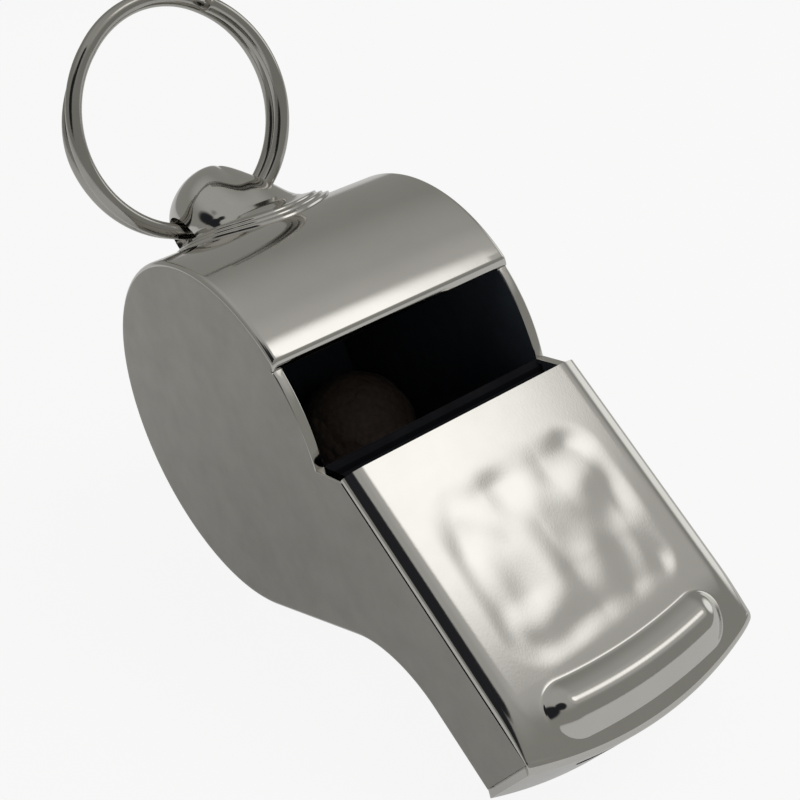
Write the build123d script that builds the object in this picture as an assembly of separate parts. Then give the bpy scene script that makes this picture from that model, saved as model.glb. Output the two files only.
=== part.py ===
from build123d import *
import math
import os

# Sports whistle: a pea whistle of sheet metal with a lanyard loop and a split ring.
# Lengths are millimetres and angles are degrees.
# Every piece is drawn on the bench: X across the whistle, Y forward to the tip of the mouthpiece, Z up
# from the barrel's axis, square to the mouthpiece's top. Angles round the barrel start at +Y.
# At the end all pieces are stood on the floor together, on the barrel and on the tip.

# Body
body_width = 21.0
barrel_radius = 13.3
band_sheet = 0.7
plate_sheet = 0.8
edge_bevel = 0.35
blade_angle = 84.0
notch_angle = 52.5
underside_height = 6.5
throat_radius = 9.6
throat_forward = 25.4

# Mouthpiece cover
cover_sheet = 0.6
cover_rear = 10.05
cover_height = 12.7
shoulder_width = 1.8
shoulder_rise = 0.45
shoulder_rounding = 1.0
tip_corner = 32.1
tip_bulge = 1.85
tip_rounding = 0.45
bead_setback = 3.6
bead_length = 15.8
bead_width = 3.9
bead_rise = 1.0
bead_end_draft = 30.0

# Windway
floor_sheet = 0.6
slot_width = 13.0
slot_height = 2.3
slot_drop = 0.35

# Lanyard loop
loop_angle = 168.0
flange_radius = 6.9
ridge_count = 3
ridge_width = 0.7
ridge_rise = 0.2
flare_foot_radius = 5.0
foot_depth = 2.6
dome_radius = 3.6
dome_height = 5.7
dome_wall = 0.8
flare_radius = 4.0
eye_width = 5.0
eye_height = 4.6
eye_rounding = 1.8
eye_sill = 0.15
eye_length = 12.4

# Split ring
ring_radius = 8.7
wire_diameter = 1.1
wire_flat_count = 16
turn_gap = 0.45
ring_lift = 1.8
ring_setback = 0.25
ring_lean = 25.0
ring_aside = 17.0
split_angle = -44.0
jog_angle = 68.0

# Cork pea
pea_diameter = 10.2
pea_clearance = 0.3
pea_angle = -75.0
pea_side_gap = 0.7

# Shared by all cuts, and by all searches for an edge
overrun = 1.0
match_tolerance = 0.01

half_width = body_width / 2
barrel_outer_radius = barrel_radius + band_sheet
tip_crest = tip_corner + tip_bulge
tip_radius = (half_width**2 + tip_bulge**2) / (2 * tip_bulge)
underside_outer = underside_height - band_sheet
cover_top = cover_height + cover_sheet + shoulder_rise
slot_bottom = cover_height - slot_drop - slot_height


def polar(radius, angle):
    """A point of a side outline, on a circle round the barrel's axis."""
    return radius * math.cos(math.radians(angle)), radius * math.sin(math.radians(angle))


def belly_slope():
    """Slope of the straight stretch between the barrel and the throat, tangent to both."""
    rise = throat_radius - underside_height
    steep = math.asin((barrel_radius + throat_radius) / math.hypot(throat_forward, rise))
    return math.degrees(steep - math.atan2(rise, throat_forward))


def belly_curve(offset, start_angle):
    """Barrel, throat and underside as one run of edges, moved outwards by offset."""
    slope = belly_slope()
    end_angle = 270 + slope
    throat_centre = (throat_forward, underside_height - throat_radius)
    barrel = CenterArc((0, 0), barrel_radius + offset, start_angle, end_angle - start_angle)
    throat = CenterArc(throat_centre, throat_radius - offset, 90 + slope, -slope)
    belly = Line(barrel @ 1, throat @ 0)
    underside = Line(throat @ 1, (tip_crest, underside_height - offset))
    return [barrel, belly, throat, underside]


def side_outline():
    """Outline of a side plate: barrel, throat, mouthpiece and the notch at the window."""
    edges = belly_curve(0, notch_angle)
    top = Polyline(edges[-1] @ 1, (tip_crest, cover_height), (cover_rear, cover_height), edges[0] @ 0)
    return make_face(edges + [top])


def behind_tip(setback):
    """The space behind the bowed tip, drawn in by setback, to trim what ends there."""
    reach = half_width + overrun
    corner = tip_crest - tip_radius + math.sqrt(tip_radius**2 - reach**2) - setback
    rear = -barrel_outer_radius - overrun
    bow = ThreePointArc((-reach, corner), (0, tip_crest - setback), (reach, corner))
    sides = Polyline(bow @ 1, (reach, rear), (-reach, rear), bow @ 0)
    deep = max(barrel_outer_radius, cover_top + bead_rise) + overrun
    return extrude(make_face([bow, sides]), amount=deep, both=True)


def make_side_plate(side):
    """One flat cheek of the whistle: side is 1 or -1 along X."""
    plate = extrude(Plane.YZ.offset(side * half_width) * side_outline(), amount=-side * plate_sheet)
    return plate & behind_tip(cover_sheet)


def make_barrel_band():
    """The strip from the blade round the barrel and along the underside, lapping both plates' edges."""
    inner = belly_curve(0, blade_angle)
    outer = belly_curve(band_sheet, blade_angle)
    ends = [Line(inner[0] @ 0, outer[0] @ 0), Line(inner[-1] @ 1, outer[-1] @ 1)]
    band = extrude(Plane.YZ * make_face(inner + outer + ends), amount=half_width, both=True)
    rims = []
    for side in (-1, 1):
        rim = Plane.YZ.offset(side * half_width) * Wire(outer)
        rims += [edge for edge in band.edges() if rim.distance_to(edge @ 0.5) < match_tolerance]
    return chamfer(rims, edge_bevel) & behind_tip(cover_sheet)


def cover_section(lowered, bottom):
    """Cross section under the cover's shouldered top, lowered from its surface, down to bottom."""
    crown = half_width - shoulder_width
    shoulder = cover_top - shoulder_rise - lowered
    points = [(-half_width, bottom), (-half_width, shoulder), (-crown, cover_top - lowered)]
    points += [(-across, height) for across, height in reversed(points)]
    face = make_face(Polyline(*points, close=True))
    bends = face.vertices().group_by(Axis.Y)[-1]
    return Plane.XZ * fillet(bends, shoulder_rounding)


def make_bead(inset):
    """The tooth bead's outer form, or its hollow underside when inset: a round back with sloping round ends."""
    back_radius = (bead_width**2 / 4 + bead_rise**2) / (2 * bead_rise)
    back_height = cover_top + bead_rise - back_radius
    place = Pos(0, tip_crest - bead_setback, 0)
    back = place * Pos(0, 0, back_height) * Rot(0, 90, 0) * Cylinder(back_radius - inset, bead_length)
    foot = Plane.XY.offset(cover_top - inset) * SlotOverall(bead_length - 2 * inset, bead_width - 2 * inset)
    return back & (place * extrude(foot, amount=bead_rise, taper=bead_end_draft))


def make_mouthpiece_cover():
    """Top plate with soft shoulders, the tip turned down in front, the tooth bead and the blowing slot."""
    length = tip_crest - cover_rear
    rear = Pos(0, cover_rear, 0)
    block = extrude(rear * cover_section(0, underside_outer), amount=-length) & behind_tip(0)
    crest = block.faces().sort_by(Axis.Y)[-1]
    brow = [edge for edge in crest.edges() if edge.center().Z > cover_height]
    block = fillet(brow, tip_rounding)
    hollow = extrude(Pos(0, -overrun, 0) * rear * cover_section(cover_sheet, -overrun), amount=-length - overrun)
    slot = Plane.XZ * Pos(0, slot_bottom + slot_height / 2) * SlotOverall(slot_width, slot_height)
    slot = extrude(Pos(0, tip_crest + overrun, 0) * slot, amount=tip_bulge + cover_sheet + 2 * overrun)
    shell = block - (hollow & behind_tip(cover_sheet))
    return shell + make_bead(0) - make_bead(cover_sheet) - slot


def make_windway_floor():
    """The inner sheet: floor of the windway, then down the front of the round chamber to the belly."""
    seat_share = 0.5
    seat = math.degrees(math.acos(barrel_radius / (barrel_radius + seat_share * floor_sheet)))
    start = belly_slope() - 90 + seat
    inner = CenterArc((0, 0), barrel_radius, start, notch_angle - start)
    outer = CenterArc((0, 0), barrel_radius + floor_sheet, start, notch_angle - start)
    wall = make_face([inner, outer, Line(inner @ 0, outer @ 0), Line(inner @ 1, outer @ 1)])
    lip = inner @ 1
    front = (tip_crest, slot_bottom)
    drop = Vector(0, -floor_sheet)
    strip = make_face(Polyline(lip, front, Vector(*front) + drop, lip + drop, close=True))
    profile = (wall + strip) & side_outline()
    sheet = extrude(Plane.YZ * profile, amount=half_width - plate_sheet, both=True)
    return sheet & behind_tip(cover_sheet)


loop_outward = Vector(0, *polar(1, loop_angle))
loop_plane = Plane(origin=loop_outward * barrel_outer_radius, x_dir=(1, 0, 0), z_dir=loop_outward)


def make_lanyard_loop():
    """A hollow bell with a cross hole, on a stepped flange that follows the back of the barrel."""
    dome_base = dome_height - dome_radius
    inner_radius = dome_radius - dome_wall
    flare_base = ridge_count * ridge_rise
    foot = Polyline(
        (inner_radius, -foot_depth), (flare_foot_radius, -foot_depth), (flare_foot_radius, flare_base)
    )
    flare = RadiusArc(foot @ 1, (dome_radius, dome_base), flare_radius)
    dome = CenterArc((0, dome_base), dome_radius, 0, 90)
    crown = Line(dome @ 1, (0, dome_height - dome_wall))
    hollow = Polyline(crown @ 1, (inner_radius, dome_base), foot @ 0)
    bell = revolve(Plane.XZ * make_face([foot, flare, dome, crown, hollow]), Axis.Z)

    def barrel_raised_by(rise):
        return Pos(0, 0, -barrel_outer_radius) * Rot(0, 90, 0) * Cylinder(barrel_outer_radius + rise, 2 * body_width)

    for ridge in range(ridge_count):
        disc = Cylinder(flange_radius - ridge * ridge_width, 2 * foot_depth)
        disc -= Cylinder(inner_radius, 2 * foot_depth)
        bell += disc & barrel_raised_by((ridge + 1) * ridge_rise)
    eye = Plane.YZ * Pos(0, eye_sill + eye_height / 2) * RectangleRounded(eye_width, eye_height, eye_rounding)
    bell -= extrude(eye, amount=eye_length / 2, both=True)
    return loop_plane * (bell - barrel_raised_by(0))


ring_hole = loop_plane.from_local_coords(Vector(0, -ring_setback, ring_lift))
lean_direction = loop_plane.from_local_coords(
    Vector(0, math.sin(math.radians(ring_lean)), math.cos(math.radians(ring_lean)))
) - loop_plane.origin
across = Vector(1, 0, 0)
ring_outward = lean_direction * math.cos(math.radians(ring_aside)) + across * math.sin(math.radians(ring_aside))
ring_hinge_axis = across * math.cos(math.radians(ring_aside)) - lean_direction * math.sin(math.radians(ring_aside))
ring_plane = Plane(
    origin=ring_hole + ring_outward * ring_radius,
    x_dir=ring_outward,
    z_dir=ring_outward.cross(ring_hinge_axis),
)


def biarc(start, start_direction, end, end_direction):
    """Two arcs that leave start and reach end along the given unit directions."""
    gap = end - start
    total = start_direction + end_direction
    spread = 2 * (1 - start_direction.dot(end_direction))
    along = gap.dot(total)
    reach = (-along + math.sqrt(along**2 + spread * gap.dot(gap))) / spread
    middle = (start + start_direction * reach + end - end_direction * reach) * 0.5
    first = Edge.make_tangent_arc(start, start_direction, middle)
    return [first, Edge.make_tangent_arc(middle, first % 1, end)]


def split_ring_path():
    """Two flat turns side by side, joined by a jog beside the split."""
    pitch = wire_diameter + turn_gap
    turn_angle = 360 - jog_angle

    def at(angle, height):
        return Vector(*polar(ring_radius, angle), height)

    def heading(angle):
        return Vector(*polar(1, angle - 90), 0)

    def flat_turn(start, height):
        half = turn_angle / 2
        arcs = []
        for first in (start, start - half):
            arcs.append(ThreePointArc(at(first, height), at(first - half / 2, height), at(first - half, height)))
        return arcs

    jog_start = split_angle - turn_angle
    jog_end = jog_start - jog_angle
    jog = biarc(at(jog_start, pitch / 2), heading(jog_start), at(jog_end, -pitch / 2), heading(jog_end))
    return flat_turn(split_angle, pitch / 2) + jog + flat_turn(jog_end, -pitch / 2)


def least_self_gap(path):
    """Smallest clear distance between stretches of the wire that aren't neighbours, measured on points."""
    count = 400
    points = [path @ (step / count) for step in range(count + 1)]
    apart = math.ceil(4 * wire_diameter / path.length * count)
    pairs = ((a, b) for a in range(count + 1) for b in range(a + apart, count + 1))
    return min((points[a] - points[b]).length for a, b in pairs) - wire_diameter


def make_split_ring():
    """One unbroken wire wound into the ring, drawn with narrow flats round it."""
    path = Wire(split_ring_path())
    print("split ring least gap to itself", round(least_self_gap(path), 3))
    section = Plane(origin=path @ 0, z_dir=path % 0) * RegularPolygon(wire_diameter / 2, wire_flat_count)
    ring = sweep(section, path=path)
    print("split ring volume over section times length", round(ring.volume / (section.area * path.length), 4))
    return ring_plane * ring


def make_cork_pea():
    """The loose ball in the chamber, lying near the bottom and to one side."""
    pea_radius = pea_diameter / 2
    orbit_radius = barrel_radius - pea_clearance - pea_radius
    aside = half_width - plate_sheet - pea_side_gap - pea_radius
    return Pos(-aside, *polar(orbit_radius, pea_angle)) * Sphere(pea_radius)


def standing_place():
    """The move that stands the whistle on its barrel and on the tip's lower edge, tip towards -Y."""
    reach = math.hypot(tip_crest, underside_outer)
    nose_down = math.atan2(underside_outer, tip_crest) + math.asin(barrel_outer_radius / reach)
    return Pos(0, 0, barrel_outer_radius) * Rot(0, 0, 180) * Rot(-math.degrees(nose_down), 0, 0)


pieces = {
    "barrel_band": make_barrel_band(),
    "left_side_plate": make_side_plate(1),
    "right_side_plate": make_side_plate(-1),
    "mouthpiece_cover": make_mouthpiece_cover(),
    "windway_floor": make_windway_floor(),
    "lanyard_loop": make_lanyard_loop(),
    "split_ring": make_split_ring(),
    "cork_pea": make_cork_pea(),
}

place = standing_place()
os.makedirs("parts", exist_ok=True)
for name, piece in pieces.items():
    export_step(place * piece, f"parts/{name}.step")

# The ring turns on the chord between the two places where it passes the bell's wall.
chord_rise = ring_radius - math.sqrt(ring_radius**2 - (dome_radius - dome_wall / 2)**2)
hinge = place * Pos(ring_hole + ring_outward * chord_rise)
hinge_tip = place * Pos(ring_hole + ring_outward * chord_rise + ring_hinge_axis)
print("ring hinge point", hinge.position, "axis", hinge_tip.position - hinge.position)
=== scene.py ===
# %% [markdown]
# # A sports whistle, dressed in Blender
#
# The whistle is a small metal box for air. A bright band runs round the barrel and along the underside,
# two satin plates close the sides, and a bright cover with a tooth bead forms the top of the mouthpiece.
# A cork pea rolls inside, and a split ring swings in a domed loop at the back.
#
# The CAD model is loaded first. It fixes where every piece is and how it moves. Blender then gives each
# piece the soft edges and the finish that a camera would see, in the same place and in metres.

import math

import bmesh
import bpy
from mathutils import Matrix, Vector, noise


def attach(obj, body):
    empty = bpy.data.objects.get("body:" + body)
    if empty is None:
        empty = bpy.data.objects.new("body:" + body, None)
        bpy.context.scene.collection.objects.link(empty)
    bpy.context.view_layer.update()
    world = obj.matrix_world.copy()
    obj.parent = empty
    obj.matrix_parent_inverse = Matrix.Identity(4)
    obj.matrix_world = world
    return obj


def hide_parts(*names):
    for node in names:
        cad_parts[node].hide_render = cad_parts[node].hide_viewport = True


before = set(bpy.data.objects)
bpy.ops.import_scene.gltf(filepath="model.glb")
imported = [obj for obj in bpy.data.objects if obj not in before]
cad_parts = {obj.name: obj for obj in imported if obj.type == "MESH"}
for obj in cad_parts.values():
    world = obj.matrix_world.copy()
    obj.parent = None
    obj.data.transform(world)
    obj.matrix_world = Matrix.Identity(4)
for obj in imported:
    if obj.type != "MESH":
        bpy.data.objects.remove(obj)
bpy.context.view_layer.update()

# %% [markdown]
# ## A bench to work on
#
# The whistle stands nose down, which is awkward to draw. Each piece is drawn on a bench instead, in
# millimetres: X across the whistle, Y forward to the tip, Z up from the barrel's axis. One matrix then
# scales it to metres and stands it in the CAD frame, so every object stays at the origin, unturned and
# unscaled.

# %% Sizes that several pieces share, and the move from the bench to the floor
half_width = 10.5
barrel_radius = 13.3
band_sheet = 0.7
plate_sheet = 0.8
cover_sheet = 0.6
blade_angle = 84.0
notch_angle = 52.5
underside_height = 6.5
throat_radius = 9.6
throat_forward = 25.4
cover_rear = 10.05
cover_height = 12.7
cover_top = 13.75
tip_crest = 33.95
tip_bulge = 1.85
slot_bottom = 10.05

barrel_outer = barrel_radius + band_sheet
underside_outer = underside_height - band_sheet
tip_radius = (half_width**2 + tip_bulge**2) / (2 * tip_bulge)
tip_reach = math.hypot(tip_crest, underside_outer)
nose_down = math.atan2(underside_outer, tip_crest) + math.asin(barrel_outer / tip_reach)
metre = 0.001

standing = (
    Matrix.Translation((0, 0, barrel_outer * metre))
    @ Matrix.Rotation(math.pi, 4, "Z")
    @ Matrix.Rotation(-nose_down, 4, "X")
    @ Matrix.Scale(metre, 4)
)
print("the whistle stands nose down by", round(math.degrees(nose_down), 2), "degrees")


# %% A helper that stands a bench mesh in the frame
def stand_piece(bm, name, finishes, body, nodes):
    """Makes an object of a bench mesh, smooth but for its sharp edges, and lets it ride on a CAD body."""
    sharp_angle = math.radians(34)
    bmesh.ops.transform(bm, matrix=standing, verts=bm.verts)
    mesh = bpy.data.meshes.new(name)
    bm.to_mesh(mesh)
    bm.free()
    mesh.shade_smooth()
    mesh.set_sharp_from_angle(angle=sharp_angle)
    for finish in finishes:
        mesh.materials.append(finish)
    piece = bpy.data.objects.new(name, mesh)
    bpy.context.scene.collection.objects.link(piece)
    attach(piece, body)
    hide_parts(*nodes)
    print(name, len(mesh.polygons), "faces")
    return piece


# %% Helpers for shading, for cutting and for picking vertices
def even_normals(piece):
    """Lets the large faces set the shading, so that a narrow bevel doesn't bend the light on a flat."""
    weighted = piece.modifiers.new("even shading", "WEIGHTED_NORMAL")
    weighted.keep_sharp = True


def cut_away(piece, cutter_bm):
    """Cuts a closed bench mesh out of a piece and keeps the result as the piece's own mesh."""
    sharp_angle = math.radians(40)
    bmesh.ops.transform(cutter_bm, matrix=standing, verts=cutter_bm.verts)
    bmesh.ops.recalc_face_normals(cutter_bm, faces=cutter_bm.faces)
    cutter_mesh = bpy.data.meshes.new("cutter")
    cutter_bm.to_mesh(cutter_mesh)
    cutter_bm.free()
    cutter = bpy.data.objects.new("cutter", cutter_mesh)
    bpy.context.scene.collection.objects.link(cutter)
    cut = piece.modifiers.new("cut", "BOOLEAN")
    cut.operation = "DIFFERENCE"
    cut.solver = "EXACT"
    cut.object = cutter
    evaluated = piece.evaluated_get(bpy.context.evaluated_depsgraph_get())
    result = bpy.data.meshes.new_from_object(evaluated)
    piece.modifiers.clear()
    old_mesh = piece.data
    piece.data = result
    result.name = piece.name
    bpy.data.meshes.remove(old_mesh)
    bpy.data.objects.remove(cutter)
    bpy.data.meshes.remove(cutter_mesh)
    result.set_sharp_from_angle(angle=sharp_angle)
    print(piece.name, "after the cut", len(result.polygons), "faces")


def verts_of(geom):
    """The vertices in a list of mixed geometry."""
    return [item for item in geom if isinstance(item, bmesh.types.BMVert)]


# %% [markdown]
# ## Finishes
#
# The metal is nickel plate in several states. The band, the cover and the loop are polished, so they
# mirror the room and only faint smears and hairlines break the mirror. The ring's wire is greyer: partly
# its own duller wire, partly painted shade for the darker room it mirrors.
# The plates are ground satin: the same metal, with a grain too fine to see that spreads each reflection.
# Inside, the colour is painted shade: the chamber and the windway get dark, dull finishes that stand in
# for the shade of the closed body. They mirror nothing, so those two finishes aren't metallic.
#
# All of them share one node group for handling marks, because the same fingers touched every piece. The
# patterns read Object coordinates in metres, so a scale of 1000 is about a millimetre.

# %% A node group for handling marks
marks = bpy.data.node_groups.new("handling marks", "ShaderNodeTree")
marks.interface.new_socket("Smear Scale", in_out="INPUT", socket_type="NodeSocketFloat")
marks.interface.new_socket("Hairline Scale", in_out="INPUT", socket_type="NodeSocketFloat")
marks.interface.new_socket("Smear", in_out="OUTPUT", socket_type="NodeSocketFloat")
marks.interface.new_socket("Hairline", in_out="OUTPUT", socket_type="NodeSocketFloat")

marks_in = marks.nodes.new("NodeGroupInput")
marks_out = marks.nodes.new("NodeGroupOutput")
marks_place = marks.nodes.new("ShaderNodeTexCoord")
marks_stretch = marks.nodes.new("ShaderNodeMapping")
marks_stretch.inputs["Rotation"].default_value = (0.5, 0.2, 0.7)
marks_stretch.inputs["Scale"].default_value = (1, 0.04, 1)
smear_noise = marks.nodes.new("ShaderNodeTexNoise")
smear_noise.inputs["Detail"].default_value = 5
smear_noise.inputs["Roughness"].default_value = 0.6
hairline_noise = marks.nodes.new("ShaderNodeTexNoise")
hairline_noise.inputs["Detail"].default_value = 3

marks.links.new(marks_place.outputs["Object"], smear_noise.inputs["Vector"])
marks.links.new(marks_place.outputs["Object"], marks_stretch.inputs["Vector"])
marks.links.new(marks_stretch.outputs["Vector"], hairline_noise.inputs["Vector"])
marks.links.new(marks_in.outputs["Smear Scale"], smear_noise.inputs["Scale"])
marks.links.new(marks_in.outputs["Hairline Scale"], hairline_noise.inputs["Scale"])
marks.links.new(smear_noise.outputs["Fac"], marks_out.inputs["Smear"])
marks.links.new(hairline_noise.outputs["Fac"], marks_out.inputs["Hairline"])
print("handling marks has", len(marks.nodes), "nodes")


# %% A helper that builds a worn nickel finish from the group
def nickel_finish(name, pale, dull, smooth, rough, smear_scale, hairline_scale, hairline_depth):
    """Nickel whose colour and roughness follow the smears, from pale and smooth to dull and rough."""
    smear_low, smear_high = 0.3, 0.7
    hairline_height = 0.00002
    material = bpy.data.materials.new(name)
    material.use_nodes = True
    nodes, links = material.node_tree.nodes, material.node_tree.links
    shader = nodes["Principled BSDF"]
    shader.inputs["Metallic"].default_value = 1.0

    wear = nodes.new("ShaderNodeGroup")
    wear.node_tree = marks
    wear.inputs["Smear Scale"].default_value = smear_scale
    wear.inputs["Hairline Scale"].default_value = hairline_scale

    tint = nodes.new("ShaderNodeMix")
    tint.data_type = "RGBA"
    tint.inputs["A"].default_value = (*pale, 1)
    tint.inputs["B"].default_value = (*dull, 1)
    links.new(wear.outputs["Smear"], tint.inputs["Factor"])
    links.new(tint.outputs["Result"], shader.inputs["Base Color"])

    gloss = nodes.new("ShaderNodeMapRange")
    gloss.inputs["From Min"].default_value = smear_low
    gloss.inputs["From Max"].default_value = smear_high
    gloss.inputs["To Min"].default_value = smooth
    gloss.inputs["To Max"].default_value = rough
    links.new(wear.outputs["Smear"], gloss.inputs["Value"])
    links.new(gloss.outputs["Result"], shader.inputs["Roughness"])

    bump = nodes.new("ShaderNodeBump")
    bump.inputs["Strength"].default_value = hairline_depth
    bump.inputs["Distance"].default_value = hairline_height
    links.new(wear.outputs["Hairline"], bump.inputs["Height"])
    links.new(bump.outputs["Normal"], shader.inputs["Normal"])
    print("finish", name)
    return material


# %% The nickel finishes
bright_nickel = nickel_finish(
    "bright nickel", pale=(0.64, 0.63, 0.60), dull=(0.58, 0.57, 0.54), smooth=0.05, rough=0.10,
    smear_scale=260, hairline_scale=9000, hairline_depth=0.06,
)
satin_nickel = nickel_finish(
    "satin nickel", pale=(0.37, 0.362, 0.335), dull=(0.31, 0.302, 0.277), smooth=0.30, rough=0.36,
    smear_scale=420, hairline_scale=16000, hairline_depth=0.35,
)
# Partly painted shade: the ring's nickel is darker than the polished one, in part its own duller wire and
# in part standing in for the darker room it mirrors.
ring_nickel_painted_shade = nickel_finish(
    "ring nickel with painted shade", pale=(0.50, 0.49, 0.46), dull=(0.40, 0.39, 0.365), smooth=0.08, rough=0.16,
    smear_scale=420, hairline_scale=9000, hairline_depth=0.12,
)
# Painted shade: a dark, dull blue-black for the inside of the chamber, standing in for the shade in the
# closed barrel.
chamber_painted_shade = nickel_finish(
    "painted chamber shade", pale=(0.10, 0.12, 0.155), dull=(0.05, 0.06, 0.08), smooth=0.5, rough=0.7,
    smear_scale=300, hairline_scale=6000, hairline_depth=0.5,
)
# Painted shade: the windway sheet is nearly black, standing in for the shade in the closed air duct under
# the cover.
windway_painted_shade = nickel_finish(
    "painted windway shade", pale=(0.012, 0.013, 0.016), dull=(0.006, 0.006, 0.008), smooth=0.6, rough=0.8,
    smear_scale=300, hairline_scale=6000, hairline_depth=0.5,
)
# The two painted-shade finishes are dull and mirror nothing, so the painted shade stays dark.
for finish in (chamber_painted_shade, windway_painted_shade):
    dull_shader = finish.node_tree.nodes["Principled BSDF"]
    dull_shader.inputs["Metallic"].default_value = 0.0
    dull_shader.inputs["Specular IOR Level"].default_value = 0.1
    print(finish.name, "is not metallic")

# %% [markdown]
# ## Cork
#
# The pea is pressed and ground cork. Its grains differ in tone, and small dark pits lie between them. A
# noise mottles the tone, and a Voronoi pattern, whose cells are like grains, sinks the borders as pits.

# %% The cork's tone
cork = bpy.data.materials.new("dark cork")
cork.use_nodes = True
cork_nodes, cork_links = cork.node_tree.nodes, cork.node_tree.links
cork_shader = cork_nodes["Principled BSDF"]
cork_place = cork_nodes.new("ShaderNodeTexCoord")
mottle = cork_nodes.new("ShaderNodeTexNoise")
mottle.inputs["Scale"].default_value = 2600
mottle.inputs["Detail"].default_value = 6
grain_tone = cork_nodes.new("ShaderNodeMix")
grain_tone.data_type = "RGBA"
grain_tone.inputs["A"].default_value = (0.10, 0.075, 0.062, 1)
grain_tone.inputs["B"].default_value = (0.27, 0.20, 0.165, 1)
cork_links.new(cork_place.outputs["Object"], mottle.inputs["Vector"])
cork_links.new(mottle.outputs["Fac"], grain_tone.inputs["Factor"])
cork_links.new(grain_tone.outputs["Result"], cork_shader.inputs["Base Color"])
print("the cork's tone takes", len(cork_nodes), "nodes")

# %% The cork's pits and its dull skin
pit_depth = 0.0002
grains = cork_nodes.new("ShaderNodeTexVoronoi")
grains.inputs["Scale"].default_value = 900
pits = cork_nodes.new("ShaderNodeMapRange")
pits.inputs["From Min"].default_value = 0.35
pits.inputs["From Max"].default_value = 0.75
pits.inputs["To Min"].default_value = 1.0
pits.inputs["To Max"].default_value = 0.25
cork_bump = cork_nodes.new("ShaderNodeBump")
cork_bump.inputs["Strength"].default_value = 0.6
cork_bump.inputs["Distance"].default_value = pit_depth
cork_roughness = cork_nodes.new("ShaderNodeMapRange")
cork_roughness.inputs["To Min"].default_value = 0.6
cork_roughness.inputs["To Max"].default_value = 0.9
cork_links.new(cork_place.outputs["Object"], grains.inputs["Vector"])
cork_links.new(grains.outputs["Distance"], pits.inputs["Value"])
cork_links.new(pits.outputs["Result"], cork_bump.inputs["Height"])
cork_links.new(cork_bump.outputs["Normal"], cork_shader.inputs["Normal"])
cork_links.new(mottle.outputs["Fac"], cork_roughness.inputs["Value"])
cork_links.new(cork_roughness.outputs["Result"], cork_shader.inputs["Roughness"])
print("with pits the cork has", len(cork_nodes), "nodes")


# %% [markdown]
# ## The barrel band
#
# One strip of sheet starts at the blade, goes round the barrel, swings through the throat and runs out
# under the mouthpiece. It could be drawn flat and bent with a curve modifier, but the real strip is bent
# round two rollers, and Spin is that same move: the strip's cross section, with its rounded outer edges,
# is turned round the barrel's axis and then round the throat's. Straight stretches are extrusions between
# the two turns.

# %% The bowed tip and the slope of the belly, which several pieces follow
def bow_forward(across):
    """How far forward the bowed tip reaches at a place across the whistle."""
    return tip_crest - tip_radius + math.sqrt(tip_radius**2 - across**2)


belly_rise = throat_radius - underside_height
belly_slope = math.asin((barrel_radius + throat_radius) / math.hypot(throat_forward, belly_rise))
belly_slope -= math.atan2(belly_rise, throat_forward)
belly_length = math.sqrt(throat_forward**2 + belly_rise**2 - (barrel_radius + throat_radius) ** 2)
throat_centre = Vector((0, throat_forward, underside_height - throat_radius))
belly_step = Vector((0, math.cos(belly_slope), math.sin(belly_slope))) * belly_length
print("the belly slopes by", round(math.degrees(belly_slope), 1), "degrees")
print("and is straight for", round(belly_length, 2), "mm")

# %% The same run for a strip or for a plate's outline
barrel_steps = 150
throat_steps = 36


def push_on(bm, geom, step):
    """Extrudes the end of a run straight on and gives back its new end."""
    edges = [item for item in geom if isinstance(item, bmesh.types.BMEdge)]
    if edges:
        made = bmesh.ops.extrude_edge_only(bm, edges=edges)["geom"]
    else:
        made = bmesh.ops.extrude_vert_indiv(bm, verts=verts_of(geom))["verts"]
    new_verts = verts_of(made)
    bmesh.ops.translate(bm, verts=new_verts, vec=step)
    new_edges = {
        edge for vert in new_verts for edge in vert.link_edges if edge.other_vert(vert) in new_verts
    }
    return new_verts + list(new_edges)


def follow_belly(bm, geom, first_angle):
    """Turns geometry round the barrel from first_angle and leads it on to the end of the underside."""
    barrel_turn = 1.5 * math.pi + belly_slope - math.radians(first_angle)
    turned = bmesh.ops.spin(
        bm, geom=geom, cent=(0, 0, 0), axis=(1, 0, 0), angle=barrel_turn, steps=barrel_steps
    )["geom_last"]
    moved = push_on(bm, turned, belly_step)
    curved = bmesh.ops.spin(
        bm, geom=moved, cent=throat_centre, axis=(1, 0, 0), angle=-belly_slope, steps=throat_steps
    )["geom_last"]
    return push_on(bm, curved, Vector((0, tip_crest - throat_forward, 0)))


print("the run has", barrel_steps, "steps round the barrel and", throat_steps, "in the throat")

# %% The band's cross section, set at the blade
edge_rounding = 0.45
rounding_steps = 6
width_cuts = 15
band = bmesh.new()
bmesh.ops.create_grid(band, x_segments=1, y_segments=1, size=0.5)
bmesh.ops.delete(band, geom=band.faces[:], context="FACES_ONLY")
bmesh.ops.scale(band, vec=(2 * half_width, band_sheet, 1), verts=band.verts)
outer_corners = [vert for vert in band.verts if vert.co.y > 0]
bmesh.ops.bevel(
    band, geom=outer_corners, offset=edge_rounding, offset_type="OFFSET", segments=rounding_steps,
    profile=0.5, affect="VERTICES", material=-1,
)
long_edges = [edge for edge in band.edges if edge.calc_length() > half_width]
bmesh.ops.subdivide_edges(band, edges=long_edges, cuts=width_cuts)
bmesh.ops.translate(band, vec=(0, barrel_radius + band_sheet / 2, 0), verts=band.verts)
blade_turn = Matrix.Rotation(math.radians(blade_angle), 3, "X")
bmesh.ops.rotate(band, cent=(0, 0, 0), matrix=blade_turn, verts=band.verts)
print("the band's cross section has", len(band.verts), "points")

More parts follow.
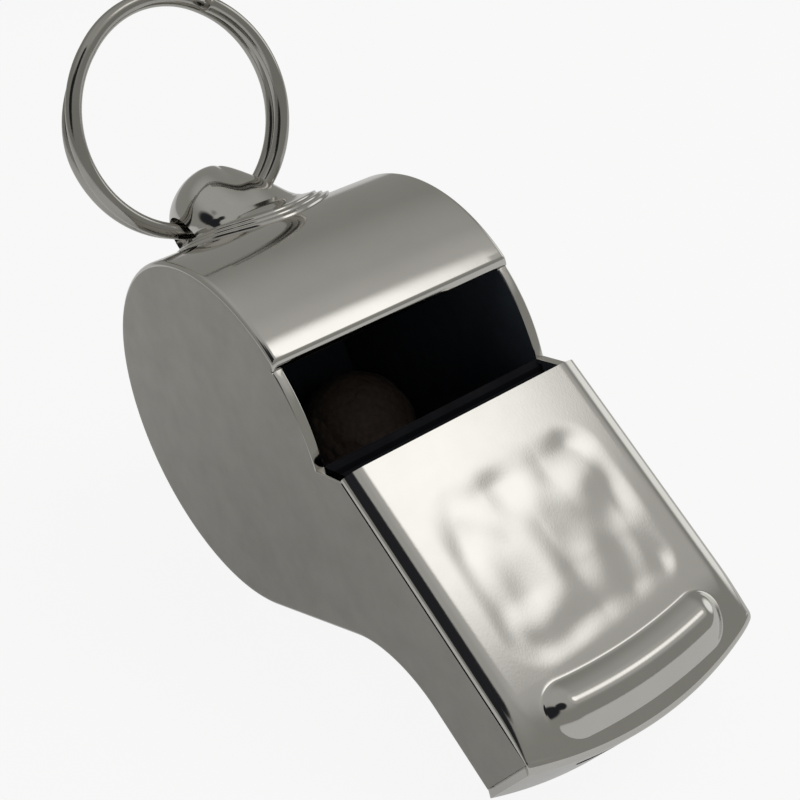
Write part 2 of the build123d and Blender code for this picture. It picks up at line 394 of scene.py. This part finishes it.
# %% The blade, rolled thin over the first degrees
blade_roll = 2.6
blade_steps = 12
blade_thinning_share = 0.75
rolled = bmesh.ops.spin(
    band, geom=band.verts[:] + band.edges[:], cent=(0, 0, 0), axis=(1, 0, 0),
    angle=math.radians(blade_roll), steps=blade_steps,
)["geom_last"]
for vert in band.verts:
    from_roll = 1 - (math.degrees(math.atan2(vert.co.z, vert.co.y)) - blade_angle) / blade_roll
    radius = math.hypot(vert.co.y, vert.co.z)
    kept_share = 1 - blade_thinning_share * max(from_roll, 0) ** 2
    thinned = barrel_radius + (radius - barrel_radius) * kept_share
    vert.co.y *= thinned / radius
    vert.co.z *= thinned / radius
print("the blade's edge is", round(band_sheet * (1 - blade_thinning_share), 3), "mm thick")

# %% The run round the barrel, the bowed end and the finishes
edge_on_share = 0.95
inner_skin_share = 0.1
band_end = follow_belly(band, rolled, blade_angle + blade_roll)
for vert in verts_of(band_end):
    vert.co.y = bow_forward(vert.co.x) - cover_sheet
bmesh.ops.holes_fill(band, edges=[edge for edge in band.edges if edge.is_boundary])
bmesh.ops.recalc_face_normals(band, faces=band.faces)
for face in band.faces:
    middle = face.calc_center_median()
    if abs(face.normal.x) > edge_on_share:
        face.material_index = 1
    # Faces on the inside of the band take the painted chamber shade.
    elif math.hypot(middle.y, middle.z) < barrel_radius + inner_skin_share * band_sheet:
        face.material_index = 2
band_finishes = [bright_nickel, satin_nickel, chamber_painted_shade]
barrel_band = stand_piece(
    band, "barrel_band_sheet", band_finishes, "whistle_body", ["barrel_band"]
)
even_normals(barrel_band)

# %% [markdown]
# ## The side plates
#
# Each cheek is one flat sheet, ground flush with the edges of the band and the cover. Its outline follows
# the same run as the band, drawn with a single vertex, and goes back along the cover and down the notch at
# the window. The filled outline is extruded to the sheet's thickness. Only the rim that shows in the
# window gets a soft edge, and it is as bright as the band.

# %% Where the rim shows in the window
window_margin = 2.0
rear_margin = 0.1


def in_window(vert):
    """Whether a vertex of a plate lies on the rim that shows in the window."""
    angle = math.degrees(math.atan2(vert.co.z, vert.co.y))
    in_notch = notch_angle - window_margin < angle < blade_angle
    return in_notch and vert.co.y < cover_rear + rear_margin


print("the window opens over", blade_angle - notch_angle, "degrees")

# %% Both plates
weld_distance = 0.001
face_tolerance = 0.01
rim_softness = 0.12
rim_steps = 3


def side_plate(name, side, node):
    """One cheek: side is 1 for the left plate, at +X on the bench, and -1 for the right one."""
    plate = bmesh.new()
    notch = math.radians(notch_angle)
    notch_corner = (side * half_width, barrel_radius * math.cos(notch), barrel_radius * math.sin(notch))
    start = plate.verts.new(notch_corner)
    end = follow_belly(plate, [start], notch_angle)[0]
    end.co.y = bow_forward(half_width) - cover_sheet
    front_top = push_on(plate, [end], Vector((0, 0, cover_height - underside_height)))[0]
    push_on(plate, [front_top], Vector((0, cover_rear - front_top.co.y, 0)))
    bmesh.ops.remove_doubles(plate, verts=plate.verts, dist=weld_distance)
    loose_ends = [vert for vert in plate.verts if len(vert.link_edges) == 1]
    plate.edges.new(loose_ends)
    outline = bmesh.ops.contextual_create(plate, geom=plate.edges[:])["faces"]
    made = bmesh.ops.extrude_face_region(plate, geom=outline)["geom"]
    bmesh.ops.translate(plate, verts=verts_of(made), vec=(-side * plate_sheet, 0, 0))
    bmesh.ops.recalc_face_normals(plate, faces=plate.faces)
    rim = [
        edge for edge in plate.edges
        if all(in_window(vert) for vert in edge.verts) and edge.verts[0].co.x == edge.verts[1].co.x
    ]
    bmesh.ops.bevel(
        plate, geom=rim, offset=rim_softness, offset_type="OFFSET", segments=rim_steps, profile=0.5,
        affect="EDGES", material=-1,
    )
    inside = half_width - plate_sheet
    for face in plate.faces:
        # The plate's inner face takes the painted chamber shade.
        if abs(abs(face.calc_center_median().x) - inside) < face_tolerance:
            face.material_index = 1
        elif abs(face.normal.x) < edge_on_share:
            face.material_index = 2
    finishes = [satin_nickel, chamber_painted_shade, bright_nickel]
    piece = stand_piece(plate, name, finishes, "whistle_body", [node])
    even_normals(piece)
    return piece


left_plate = side_plate("left_cheek", 1, "left_side_plate")
right_plate = side_plate("right_cheek", -1, "right_side_plate")

# %% [markdown]
# ## The mouthpiece cover
#
# The cover is pressed from one sheet: a nearly flat top with rolled long edges, the tooth bead raised near
# the tip, and the tip turned down to close the front. A grid is bent over that form row by row and column
# by column. It could be built from separate faces and bevels, but one fine grid keeps the mirror unbroken
# across every bend, which is what shows on polished metal.

# %% The raised tooth bead
bead_forward = 29.95
bead_half_length = 7.9
bead_half_width = 1.95
bead_rise = 1.0
bead_bow = 0.7
bead_foot = 0.1


def bead_height(across, forward):
    """Height of the tooth bead above the cover's top: a round back with round ends and a tight foot."""
    straight = bead_half_length - bead_half_width
    middle = bead_forward + bead_bow * (1 - (across / bead_half_length) ** 2)
    off = math.hypot(max(abs(across) - straight, 0), forward - middle) / bead_half_width
    back = bead_rise * (1 - off * off)
    return (back + math.sqrt(back * back + bead_foot * bead_foot)) / 2


print("the bead rises", round(bead_height(0, bead_forward + bead_bow), 2), "mm")

# %% The bare field behind the bead
panel_half_width = 7.9
panel_start = 13.5
panel_end = 27.6
panel_rounding = 3.0
panel_border = 2.2
panel_depth = 0.05
panel_wave = 0.06
waves_across = 0.36
waves_forward = 0.31
wave_seed = 4.0


def smooth_step(value, low, high):
    """0 below low, 1 above high, and an even S between them."""
    share = min(max((value - low) / (high - low), 0), 1)
    return share * share * (3 - 2 * share)


def panel_dip(across, forward):
    """Depth of the bare pressed field behind the bead: a soft border and a little unevenness inside it."""
    middle = (panel_start + panel_end) / 2
    out_across = abs(across) - (panel_half_width - panel_rounding)
    out_forward = abs(forward - middle) - ((panel_end - panel_start) / 2 - panel_rounding)
    off = math.hypot(max(out_across, 0), max(out_forward, 0)) + min(max(out_across, out_forward), 0)
    inside = 1 - smooth_step(off, panel_rounding - panel_border, panel_rounding)
    wave = noise.noise(Vector((across * waves_across, forward * waves_forward, wave_seed)))
    return inside * (panel_depth + panel_wave * wave)


print("the field is at most", panel_depth + panel_wave, "mm deep")

# %% Where a point of the sheet lies on the pressed form
roll_start = 8.8
roll_drop = 0.85
brow_radius = 0.7
front_fall = 0.6
edge_hold_share = 0.72
bead_zone = panel_end
flat_share = 0.74
bead_row_share = 0.38
brow_row_share = 0.84
wall_row_share = 0.90


def sheet_point(column, row):
    """Place of the sheet's outer face: column is -1 to 1 across, row is 0 at the rear to 1 at the hem."""
    edge_share = max(abs(column) - flat_share, 0) / (1 - flat_share)
    droop = front_fall * (1 - edge_hold_share * edge_share**2)
    if abs(column) <= flat_share:
        across = roll_start * column / flat_share
        top = cover_top
    else:
        roll = edge_share * math.pi / 2
        across = math.copysign(roll_start + (half_width - roll_start) * math.sin(roll), column)
        top = cover_top - roll_drop * (1 - math.cos(roll))
    front = bow_forward(across)
    brow = front - brow_radius
    if row <= brow_row_share:
        if row <= bead_row_share:
            forward = cover_rear + (bead_zone - cover_rear) * row / bead_row_share
        else:
            past_bead = (row - bead_row_share) / (brow_row_share - bead_row_share)
            forward = bead_zone + (brow - bead_zone) * past_bead
        fall = droop * max((forward - bead_zone) / (brow - bead_zone), 0) ** 2
        height = top - fall + bead_height(across, forward) - panel_dip(across, forward)
    elif row <= wall_row_share:
        bend = (row - brow_row_share) / (wall_row_share - brow_row_share) * math.pi / 2
        forward = brow + brow_radius * math.sin(bend)
        height = top - droop - brow_radius * (1 - math.cos(bend))
    else:
        down = (row - wall_row_share) / (1 - wall_row_share)
        forward = front
        height = (top - droop - brow_radius) * (1 - down) + underside_outer * down
    return Vector((across, forward, height))


print("the hem's middle lies at", [round(part, 2) for part in sheet_point(0, 1)])

# %% The pressed sheet and its thickness
cover_columns = 168
cover_rows = 160
cover = bmesh.new()
bmesh.ops.create_grid(cover, x_segments=cover_columns, y_segments=cover_rows, size=1)
for vert in cover.verts:
    vert.co = sheet_point(vert.co.x, (vert.co.y + 1) / 2)
bmesh.ops.recalc_face_normals(cover, faces=cover.faces)
if max(cover.faces, key=lambda face: face.calc_center_median().z).normal.z < 0:
    bmesh.ops.reverse_faces(cover, faces=cover.faces)
mouthpiece_cover = stand_piece(
    cover, "pressed_cover", [bright_nickel], "whistle_body", ["mouthpiece_cover"]
)
thickness = mouthpiece_cover.modifiers.new("sheet", "SOLIDIFY")
thickness.thickness = cover_sheet * metre
thickness.offset = -1
thickness.use_even_offset = True

# %% The blowing slot, cut through the turned-down front
slot_half_width = 6.5
slot_height = 1.4
slot_drop = 0.1
slot_cut_back = 4.0
slot_cut_length = 6.0
slot = bmesh.new()
bmesh.ops.create_circle(slot, cap_ends=True, segments=48, radius=slot_height / 2)
for vert in slot.verts:
    vert.co.x += math.copysign(slot_half_width - slot_height / 2, vert.co.x)
quarter_turn = Matrix.Rotation(math.pi / 2, 3, "X")
bmesh.ops.rotate(slot, cent=(0, 0, 0), matrix=quarter_turn, verts=slot.verts)
slot_middle = slot_bottom - slot_drop + slot_height / 2
bmesh.ops.translate(slot, verts=slot.verts, vec=(0, tip_crest - slot_cut_back, slot_middle))
slot_front = bmesh.ops.extrude_face_region(slot, geom=slot.faces[:])["geom"]
bmesh.ops.translate(slot, verts=verts_of(slot_front), vec=(0, slot_cut_length, 0))
cut_away(mouthpiece_cover, slot)

# %% [markdown]
# ## The windway floor
#
# Under the cover a second sheet makes the floor of the air duct. At its rear lip the sheet turns down and
# becomes the front of the round chamber. It is spun and extruded from one cross section, as the band is,
# because the real sheet is bent in one piece too.

# %% The front wall of the chamber
floor_sheet = 0.6
wall_steps = 50
wall_lap = math.radians(12)
wall_end = math.radians(notch_angle)
wall_start = belly_slope - math.pi / 2 + wall_lap
duct = bmesh.new()
bmesh.ops.create_grid(duct, x_segments=1, y_segments=1, size=0.5)
bmesh.ops.delete(duct, geom=duct.faces[:], context="FACES_ONLY")
bmesh.ops.scale(duct, vec=(2 * (half_width - plate_sheet), floor_sheet, 1), verts=duct.verts)
bmesh.ops.translate(duct, vec=(0, barrel_radius + floor_sheet / 2, 0), verts=duct.verts)
bmesh.ops.rotate(duct, cent=(0, 0, 0), matrix=Matrix.Rotation(wall_start, 3, "X"), verts=duct.verts)
wall_top = bmesh.ops.spin(
    duct, geom=duct.verts[:] + duct.edges[:], cent=(0, 0, 0), axis=(1, 0, 0), angle=wall_end - wall_start,
    steps=wall_steps,
)["geom_last"]
print("the front wall turns by", round(math.degrees(wall_end - wall_start), 1), "degrees")

# %% The lip and the floor of the air duct
lip_forward = barrel_radius * math.cos(wall_end)
lip_height = barrel_radius * math.sin(wall_end)
for vert in verts_of(wall_top):
    upper = math.hypot(vert.co.y, vert.co.z) < barrel_radius + floor_sheet / 2
    vert.co.y = lip_forward if upper else lip_forward + floor_sheet
    vert.co.z = lip_height if upper else lip_height - floor_sheet
floor_front = tip_crest - tip_bulge - cover_sheet
push_on(duct, wall_top, Vector((0, floor_front - lip_forward, slot_bottom - lip_height)))
bmesh.ops.holes_fill(duct, edges=[edge for edge in duct.edges if edge.is_boundary])
bmesh.ops.recalc_face_normals(duct, faces=duct.faces)
# The whole windway sheet wears the painted shade.
windway_floor = stand_piece(
    duct, "windway_sheet", [windway_painted_shade], "whistle_body", ["windway_floor"]
)

# %% [markdown]
# ## The lanyard loop
#
# The loop is a bell on a stepped flange that is bent to the barrel. Its right flank falls like a cone, and
# its left side swells into a round lip at the mouth of the cross hole. It is turned first, like a part on
# a lathe: a half profile is spun a full turn. Then each point moves toward a second, fuller profile, the
# more the further left it faces, and the flange is draped on the barrel. Rounds of smoothing take out the
# kinks between the profile's points. It could be sculpted, but a rule keeps the mirror even.

# %% The bell's own bench, on the back of the barrel
loop_angle = math.radians(168)
loop_up = Vector((0, math.cos(loop_angle), math.sin(loop_angle)))
loop_side = Vector((0, math.sin(loop_angle), -math.cos(loop_angle)))
loop_place = Matrix.Translation(loop_up * barrel_outer) @ Matrix(
    ((1, 0, 0, 0), (0, loop_side.y, loop_up.y, 0), (0, loop_side.z, loop_up.z, 0), (0, 0, 0, 1))
)
print("the bell points toward", [round(part, 2) for part in loop_up])

# %% The turned bell: a flange of three ridges, then the flank as pairs of radius and height
flange_radius = 6.9
ridge_width = 0.45
ridge_rise = 0.2
ridge_count = 3
ridge_softness = 0.07
foot_depth = 0.3
bell_steps = 144
flank_cuts = 4
right_flank = [
    (5.0, 0.68), (4.55, 0.9), (4.15, 1.25), (3.75, 1.75), (3.25, 2.4), (2.7, 3.1), (2.15, 3.75),
    (1.6, 4.35), (1.1, 4.88), (0.7, 5.25), (0.35, 5.5), (0, 5.6),
]
flank_foot = right_flank[0][1]
bell = bmesh.new()
stations = [(0, -foot_depth), (flange_radius, -foot_depth)]
for ridge in range(ridge_count):
    rim = flange_radius - ridge * ridge_width
    stations += [(rim, (ridge + 1) * ridge_rise), (rim - ridge_width, (ridge + 1) * ridge_rise)]
profile = [bell.verts.new((radius, 0, height)) for radius, height in stations + right_flank]
for low, high in zip(profile, profile[1:]):
    bell.edges.new((low, high))
bmesh.ops.bevel(
    bell, geom=profile[2:len(stations)], offset=ridge_softness, offset_type="OFFSET", segments=3,
    profile=0.5, affect="VERTICES", material=-1,
)
flank_edges = [
    edge for edge in bell.edges if min(vert.co.z for vert in edge.verts) > flank_foot - weld_distance
]
bmesh.ops.subdivide_edges(bell, edges=flank_edges, cuts=flank_cuts)
bmesh.ops.spin(
    bell, geom=bell.verts[:] + bell.edges[:], cent=(0, 0, 0), axis=(0, 0, 1), angle=2 * math.pi,
    steps=bell_steps, use_merge=True,
)
bmesh.ops.remove_doubles(bell, verts=bell.verts, dist=weld_distance)
print("the turned bell has", len(bell.faces), "faces")

# %% The swelling on the left
left_flank = [
    (5.3, 0.72), (5.45, 1.0), (5.6, 1.45), (5.6, 2.1), (5.45, 2.9), (5.15, 3.6), (4.7, 4.2),
    (4.1, 4.75), (3.3, 5.25), (2.3, 5.6), (1.2, 5.75), (0, 5.6),
]
lip_bearing = math.radians(-18)
swell_none_cosine = -0.25
swell_full_cosine = 0.95


def left_point(height):
    """The fuller profile's radius and height that belong to a height on the right flank."""
    pairs = zip(right_flank, right_flank[1:], left_flank, left_flank[1:])
    for (_, low), (_, high), (low_radius, low_height), (high_radius, high_height) in pairs:
        if height <= high:
            share = max((height - low) / (high - low), 0)
            full_radius = low_radius + share * (high_radius - low_radius)
            return full_radius, low_height + share * (high_height - low_height)
    return left_flank[-1]


for vert in bell.verts:
    radius = math.hypot(vert.co.x, vert.co.y)
    if vert.co.z > flank_foot and radius > 0:
        bearing = math.atan2(vert.co.y, vert.co.x) - lip_bearing
        leftward = smooth_step(math.cos(bearing), swell_none_cosine, swell_full_cosine)
        full_radius, full_height = left_point(vert.co.z)
        grown = radius + leftward * (full_radius - radius)
        vert.co.x *= grown / radius
        vert.co.y *= grown / radius
        vert.co.z += leftward * (full_height - vert.co.z)
lip_reach = max(vert.co.x for vert in bell.verts if vert.co.z > flank_foot)
print("the lip reaches", round(lip_reach, 2), "mm to the left")

# %% The flange draped on the barrel, and the flank smoothed
drape_full_height = 0.7
drape_none_height = 3.2
flank_start = 0.9
smooth_passes = 16
for vert in bell.verts:
    fall = math.sqrt(barrel_outer**2 - vert.co.y**2) - barrel_outer
    vert.co.z += fall * (1 - smooth_step(vert.co.z, drape_full_height, drape_none_height))
flank_verts = [vert for vert in bell.verts if vert.co.z > flank_start]
for _ in range(smooth_passes):
    bmesh.ops.smooth_vert(
        bell, verts=flank_verts, factor=0.5, use_axis_x=True, use_axis_y=True, use_axis_z=True
    )
bmesh.ops.recalc_face_normals(bell, faces=bell.faces)
bmesh.ops.transform(bell, matrix=loop_place, verts=bell.verts)
lanyard_loop = stand_piece(
    bell, "bell_loop", [bright_nickel], "whistle_body", ["lanyard_loop"]
)

# %% Where the ring hangs, and the line it swings about
ring_lift = 1.8
ring_setback = 0.25
ring_lean = math.radians(25)
ring_aside = math.radians(17)
swing_offset = 0.61
ring_hole = loop_place @ Vector((0, -ring_setback, ring_lift))
lean_way = loop_side * math.sin(ring_lean) + loop_up * math.cos(ring_lean)
across_way = Vector((1, 0, 0))
ring_out = lean_way * math.cos(ring_aside) + across_way * math.sin(ring_aside)
ring_hinge = across_way * math.cos(ring_aside) - lean_way * math.sin(ring_aside)
swing_point = ring_hole + ring_out * swing_offset
print("the ring swings about", [round(part, 2) for part in ring_hinge])

# %% The cross hole, an hourglass round that line, as pairs of place and radius
eye_stations = [
    (-6.5, 3.4), (-5, 2.2), (-4, 1.8), (-3, 1.62), (0, 1.92), (3, 1.62), (4, 1.8), (5, 2.2), (6.5, 3.4),
]
eye_sill = 0.25
eye = bmesh.new()
bmesh.ops.create_circle(eye, cap_ends=True, segments=64, radius=1)
mouth = eye.faces[:]
place, flare = eye_stations[0]
bmesh.ops.scale(eye, vec=(flare, flare, 1), verts=eye.verts)
bmesh.ops.translate(eye, verts=eye.verts, vec=(0, 0, place))
for next_place, next_flare in eye_stations[1:]:
    grown = bmesh.ops.extrude_face_region(eye, geom=mouth)["geom"]
    if place > eye_stations[0][0]:
        bmesh.ops.delete(eye, geom=mouth, context="FACES_ONLY")
    mouth = [item for item in grown if isinstance(item, bmesh.types.BMFace)]
    mouth_verts = verts_of(grown)
    bmesh.ops.scale(eye, vec=(next_flare / flare, next_flare / flare, 1), verts=mouth_verts)
    bmesh.ops.translate(eye, verts=mouth_verts, vec=(0, 0, next_place - place))
    place, flare = next_place, next_flare
swing_turn = Vector((0, 0, 1)).rotation_difference(ring_hinge).to_matrix().to_4x4()
bmesh.ops.transform(eye, matrix=Matrix.Translation(swing_point) @ swing_turn, verts=eye.verts)
for vert in eye.verts:
    above = (vert.co - loop_up * barrel_outer).dot(loop_up)
    vert.co += loop_up * max(eye_sill - above, 0)
cut_away(lanyard_loop, eye)

# %% [markdown]
# ## The split ring
#
# A split ring is one springy wire wound twice. A curve with a bevel could draw it, but Spin winds it as
# the machine does, in three strokes: a flat turn, a jog that also steps sideways to the next layer, and a
# second flat turn. The first end stays square, as a wire cutter leaves it. The far end is ground to a
# wedge, so that it lies close along its neighbour and catches no thread.

# %% The wound wire
ring_radius = 8.7
ring_wire = 1.22
ring_pitch = 1.3
split_angle = math.radians(-50)
jog_turn = math.radians(74)
flat_turn = 2 * math.pi - jog_turn
flat_steps = 146
jog_steps = 34
end_softness = 0.1
wire = bmesh.new()
bmesh.ops.create_circle(wire, segments=24, radius=ring_wire / 2)
bmesh.ops.rotate(wire, cent=(0, 0, 0), matrix=quarter_turn, verts=wire.verts)
bmesh.ops.translate(wire, verts=wire.verts, vec=(ring_radius, 0, ring_pitch / 2))
split_turn = Matrix.Rotation(split_angle, 3, "Z")
bmesh.ops.rotate(wire, cent=(0, 0, 0), matrix=split_turn, verts=wire.verts)
strokes = [
    (flat_turn, 0, flat_steps),
    (jog_turn, -ring_pitch / jog_steps, jog_steps),
    (flat_turn, 0, flat_steps),
]
front = wire.verts[:] + wire.edges[:]
for turn, sideways, steps in strokes:
    front = bmesh.ops.spin(
        wire, geom=front, cent=(0, 0, 0), axis=(0, 0, 1), dvec=(0, 0, sideways), angle=-turn, steps=steps
    )["geom_last"]
ends = bmesh.ops.holes_fill(wire, edges=[edge for edge in wire.edges if edge.is_boundary])["faces"]
bmesh.ops.bevel(
    wire, geom=[edge for face in ends for edge in face.edges], offset=end_softness, offset_type="OFFSET",
    segments=2, profile=0.5, affect="EDGES", material=-1,
)
bmesh.ops.recalc_face_normals(wire, faces=wire.faces)
wire_length = ring_radius * sum(turn for turn, _, _ in strokes)
print("the wire is", round(wire_length, 1), "mm long")

# %% The far end, ground to a wedge that hugs the next turn
wedge_turn = math.radians(58)
wedge_end = split_angle + jog_turn
wedge_margin = 0.05
wedge_tip_share = 0.22
for vert in wire.verts:
    past_end = math.atan2(vert.co.y, vert.co.x) - wedge_end
    if vert.co.z < 0 and -wedge_margin < past_end < wedge_turn:
        ring_side = Vector((vert.co.x, vert.co.y, 0)).normalized() * ring_radius
        size_share = wedge_tip_share + (1 - wedge_tip_share) * smooth_step(past_end, 0, wedge_turn)
        vert.co = ring_side + (vert.co - ring_side) * size_share
print("the wedge's tip is", round(wedge_tip_share * ring_wire, 2), "mm thick")

# %% Hang the ring in the loop as it lies in the photo
ring_normal = ring_out.cross(ring_hinge)
ring_place = Matrix.Translation(ring_hole + ring_out * ring_radius) @ Matrix(
    (
        (ring_out.x, ring_hinge.x, ring_normal.x, 0),
        (ring_out.y, ring_hinge.y, ring_normal.y, 0),
        (ring_out.z, ring_hinge.z, ring_normal.z, 0),
        (0, 0, 0, 1),
    )
)
bmesh.ops.transform(wire, matrix=ring_place, verts=wire.verts)
# The wound ring wears the darker nickel with its painted shade.
split_ring = stand_piece(wire, "wound_ring", [ring_nickel_painted_shade], "ring", ["split_ring"])

# %% [markdown]
# ## The cork pea
#
# The pea is nearly a ball, ground by hand, so it is a little lumpy and its skin has pits. A fine ball is
# pushed in and out by two noises: a broad one for the lumps and a fine one for the grain. A displacement
# modifier could do the same, but a rule in the script keeps the pea within its clearance.

# %% The lumpy ball
pea_radius = 5.1
pea_orbit = 7.9
pea_angle = math.radians(-75)
pea_aside = -3.9
lump_depth = 0.12
lump_scale = 2.3
grain_depth = 0.06
grain_scale = 11
mean_radius = pea_radius - lump_depth - grain_depth
pea = bmesh.new()
bmesh.ops.create_icosphere(pea, subdivisions=6, radius=1)
for vert in pea.verts:
    way = vert.co.normalized()
    lump = noise.noise(way * lump_scale)
    grain = noise.noise(way * grain_scale)
    vert.co = way * (mean_radius + lump_depth * lump + grain_depth * grain)
pea_place = (pea_aside, pea_orbit * math.cos(pea_angle), pea_orbit * math.sin(pea_angle))
bmesh.ops.translate(pea, verts=pea.verts, vec=pea_place)
cork_pea = stand_piece(pea, "lumpy_pea", [cork], "pea", ["cork_pea"])

# %% [markdown]
# ## Floor, light and camera
#
# Polished metal shows the room more than itself. The room here is painted on the world as soft round
# patches: grey walls, a paler ceiling, a dark side to the left, a bright window to the right and the face
# of one soft lamp above with its glow. The lamp itself lights the satin and the floor at a plain level. It
# is kept out of mirrors, because its painted face already shows there.
#
# The floor is pale. For the camera it is white round the whistle and fades to grey further out, and
# mirrors see a share of that white. The rest of the plain floor stays, and with it the shadow.

# %% Helpers that paint the room
scene = bpy.context.scene
scene.view_settings.view_transform = "Standard"
world = bpy.data.worlds.new("plain room")
scene.world = world
world.use_nodes = True
room_nodes, room_links = world.node_tree.nodes, world.node_tree.links
room_place = room_nodes.new("ShaderNodeTexCoord")


def room_patch(towards, outer_angle, inner_angle):
    """A soft round patch in one direction: 1 inside inner_angle, 0 outside outer_angle, in degrees."""
    facing = room_nodes.new("ShaderNodeVectorMath")
    facing.operation = "DOT_PRODUCT"
    facing.inputs[1].default_value = Vector(towards).normalized()
    patch = room_nodes.new("ShaderNodeMapRange")
    patch.interpolation_type = "SMOOTHSTEP"
    patch.inputs["From Min"].default_value = math.cos(math.radians(outer_angle))
    patch.inputs["From Max"].default_value = math.cos(math.radians(inner_angle))
    room_links.new(room_place.outputs["Generated"], facing.inputs[0])
    room_links.new(facing.outputs["Value"], patch.inputs["Value"])
    return patch.outputs["Result"]


def room_mix(colour, patch, patch_colour):
    """The room's colour so far, with a patch painted over it."""
    mix = room_nodes.new("ShaderNodeMix")
    mix.data_type = "RGBA"
    room_links.new(patch, mix.inputs["Factor"])
    if isinstance(colour, tuple):
        mix.inputs["A"].default_value = colour
    else:
        room_links.new(colour, mix.inputs["A"])
    mix.inputs["B"].default_value = patch_colour
    return mix.outputs["Result"]


print("the view is", scene.view_settings.view_transform)

# %% The room, painted patch by patch
walls = (0.30, 0.295, 0.275, 1)
ceiling = (0.46, 0.455, 0.435, 1)
dark_side = (0.02, 0.021, 0.024, 1)
window_side = (1.1, 1.1, 1.08, 1)
lamp_glow = (0.54, 0.53, 0.51, 1)
lamp_face = (1.55, 1.54, 1.51, 1)
lamp_way = (0.46, -0.31, 0.83)
room_patches = [
    ((0, 0, 1), 60, 20, ceiling),
    ((-0.42, -0.39, 0.82), 17, 11, dark_side),
    ((-0.80, -0.27, 0.53), 24, 16, dark_side),
    ((0.96, -0.03, 0.27), 22, 10, window_side),
    (lamp_way, 26, 7, lamp_glow),
    (lamp_way, 11, 3, lamp_face),
]
room_colour = walls
for towards, outer_angle, inner_angle, patch_colour in room_patches:
    room_colour = room_mix(room_colour, room_patch(towards, outer_angle, inner_angle), patch_colour)
room_links.new(room_colour, room_nodes["Background"].inputs["Color"])
print("the room has", len(room_patches), "patches")

# %% The floor and its plain paint
floor_half_width = 2
floor_bm = bmesh.new()
bmesh.ops.create_grid(floor_bm, x_segments=2, y_segments=2, size=floor_half_width)
floor_mesh = bpy.data.meshes.new("floor")
floor_bm.to_mesh(floor_mesh)
floor_bm.free()
floor = bpy.data.objects.new("floor", floor_mesh)
scene.collection.objects.link(floor)
floor_paint = bpy.data.materials.new("pale floor")
floor_paint.use_nodes = True
floor_mesh.materials.append(floor_paint)
floor_nodes, floor_links = floor_paint.node_tree.nodes, floor_paint.node_tree.links
floor_shader = floor_nodes["Principled BSDF"]
floor_shader.inputs["Base Color"].default_value = (0.74, 0.74, 0.74, 1)
floor_shader.inputs["Roughness"].default_value = 0.9
floor_shader.inputs["Specular IOR Level"].default_value = 0.1
print("the floor is", 2 * floor_half_width, "m wide")

# %% The floor's white, which fades to grey away from the whistle
white_reach = 0.12
grey_reach = 0.5
grey_strength = 0.32
floor_place = floor_nodes.new("ShaderNodeTexCoord")
floor_reach = floor_nodes.new("ShaderNodeVectorMath")
floor_reach.operation = "LENGTH"
floor_fade = floor_nodes.new("ShaderNodeMapRange")
floor_fade.interpolation_type = "SMOOTHSTEP"
floor_fade.inputs["From Min"].default_value = white_reach
floor_fade.inputs["From Max"].default_value = grey_reach
floor_fade.inputs["To Min"].default_value = 1.0
floor_fade.inputs["To Max"].default_value = grey_strength
floor_light = floor_nodes.new("ShaderNodeEmission")
floor_links.new(floor_place.outputs["Object"], floor_reach.inputs[0])
floor_links.new(floor_reach.outputs["Value"], floor_fade.inputs["Value"])
floor_links.new(floor_fade.outputs["Result"], floor_light.inputs["Strength"])
print("the floor is white to", white_reach, "m and grey from", grey_reach, "m")

# %% Which rays see that white: the camera's most, those from mirrors and glass in part
camera_share = 0.9
mirror_share = 0.35
floor_rays = floor_nodes.new("ShaderNodeLightPath")
floor_mirrored = floor_nodes.new("ShaderNodeMath")
floor_mirrored.operation = "ADD"
floor_mirror_white = floor_nodes.new("ShaderNodeMath")
floor_mirror_white.operation = "MULTIPLY"
floor_mirror_white.inputs[1].default_value = mirror_share
floor_white = floor_nodes.new("ShaderNodeMath")
floor_white.operation = "MULTIPLY_ADD"
floor_white.inputs[1].default_value = camera_share
floor_mix = floor_nodes.new("ShaderNodeMixShader")
floor_links.new(floor_rays.outputs["Is Glossy Ray"], floor_mirrored.inputs[0])
floor_links.new(floor_rays.outputs["Is Transmission Ray"], floor_mirrored.inputs[1])
floor_links.new(floor_mirrored.outputs["Value"], floor_mirror_white.inputs[0])
floor_links.new(floor_rays.outputs["Is Camera Ray"], floor_white.inputs[0])
floor_links.new(floor_mirror_white.outputs["Value"], floor_white.inputs[2])
floor_links.new(floor_white.outputs["Value"], floor_mix.inputs["Fac"])
floor_links.new(floor_shader.outputs["BSDF"], floor_mix.inputs[1])
floor_links.new(floor_light.outputs["Emission"], floor_mix.inputs[2])
floor_links.new(floor_mix.outputs["Shader"], floor_nodes["Material Output"].inputs["Surface"])
print("the floor's paint has", len(floor_nodes), "nodes")

# %% The lamp, a square softbox
lamp_place = Vector((0.20, -0.13, 0.42))
lamp_aim = Vector((0, -0.02, 0.01))
lamp_size = 0.24
lamp_watts = 0.4
softbox = bpy.data.lights.new("overhead softbox", "AREA")
softbox.shape = "SQUARE"
softbox.size = lamp_size
softbox.energy = lamp_watts
lamp = bpy.data.objects.new("overhead softbox", softbox)
lamp.location = lamp_place
lamp.rotation_euler = (lamp_aim - lamp_place).to_track_quat("-Z", "Y").to_euler()
lamp.visible_glossy = False
scene.collection.objects.link(lamp)
print("the lamp stands", round((lamp_aim - lamp_place).length, 2), "m from the whistle")

# %% The camera, at the photo's angle
camera_place = (-0.05251, -0.07745, 0.07715)
camera_turn = (55.234, 2.438, -39.007)
camera_data = bpy.data.cameras.new("camera")
camera_data.lens = 65.14
camera_data.sensor_width = 36
camera_data.clip_start = 0.01
camera = bpy.data.objects.new("camera", camera_data)
camera.location = camera_place
camera.rotation_euler = [math.radians(turn) for turn in camera_turn]
scene.collection.objects.link(camera)
scene.camera = camera
print("the camera's lens is", round(camera_data.lens, 2), "mm")
